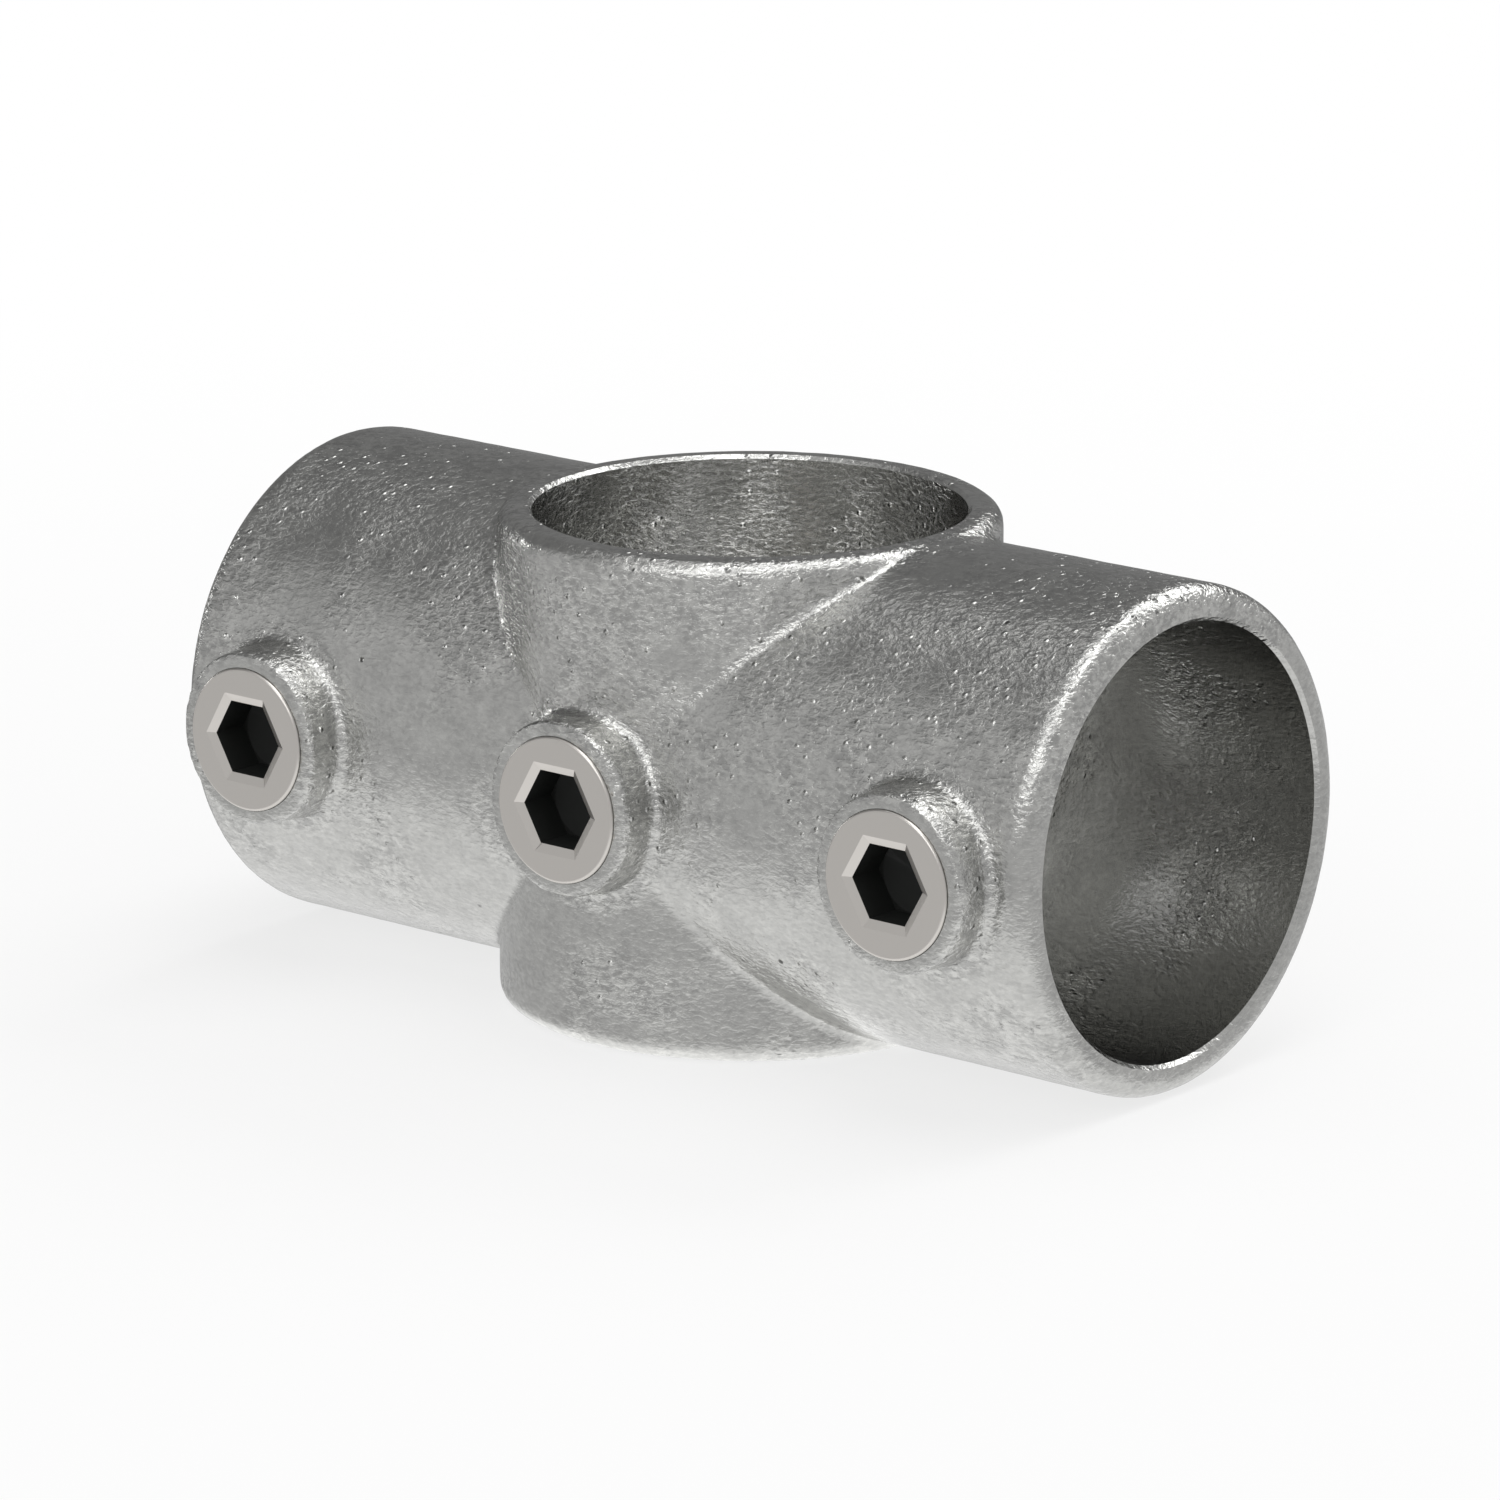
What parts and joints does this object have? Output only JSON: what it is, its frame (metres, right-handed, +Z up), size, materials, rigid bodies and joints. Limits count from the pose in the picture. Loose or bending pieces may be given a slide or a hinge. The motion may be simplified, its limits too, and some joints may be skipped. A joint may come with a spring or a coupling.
{
  "type": "cross tube clamp",
  "caption": "Cast tube clamp with an upright through collar, a level sleeve with a socket at each end, and socket set screws in front bosses.",
  "frame": {"origin": "where the axis of the upright bore crosses the axis of the two level sockets", "axes": "+X along the level sleeve towards the right socket, +Z up the upright bore, -Y out of the front, where the set screws are"},
  "size_m": [0.1232, 0.0623, 0.0574],
  "materials": {
    "casting": "hot-dip galvanised, grainy as cast",
    "set_screw": "zinc plated, satin"
  },
  "bodies": {
    "clamp": {"clamp_body": "casting"},
    "left_screw": {"left_set_screw": "set_screw"},
    "centre_screw": {"centre_set_screw": "set_screw"},
    "right_screw": {"right_set_screw": "set_screw"}
  },
  "joints": [
    {"name": "left_screw_feed", "type": "slide", "parent": "clamp", "child": "left_screw", "axis": [0, 1, 0], "range_m": [-0.00535, 0.00201]},
    {"name": "centre_screw_feed", "type": "slide", "parent": "clamp", "child": "centre_screw", "axis": [0, 1, 0], "range_m": [-0.00535, 0.00201]},
    {"name": "right_screw_feed", "type": "slide", "parent": "clamp", "child": "right_screw", "axis": [0, 1, 0], "range_m": [-0.00535, 0.00201]}
  ]
}
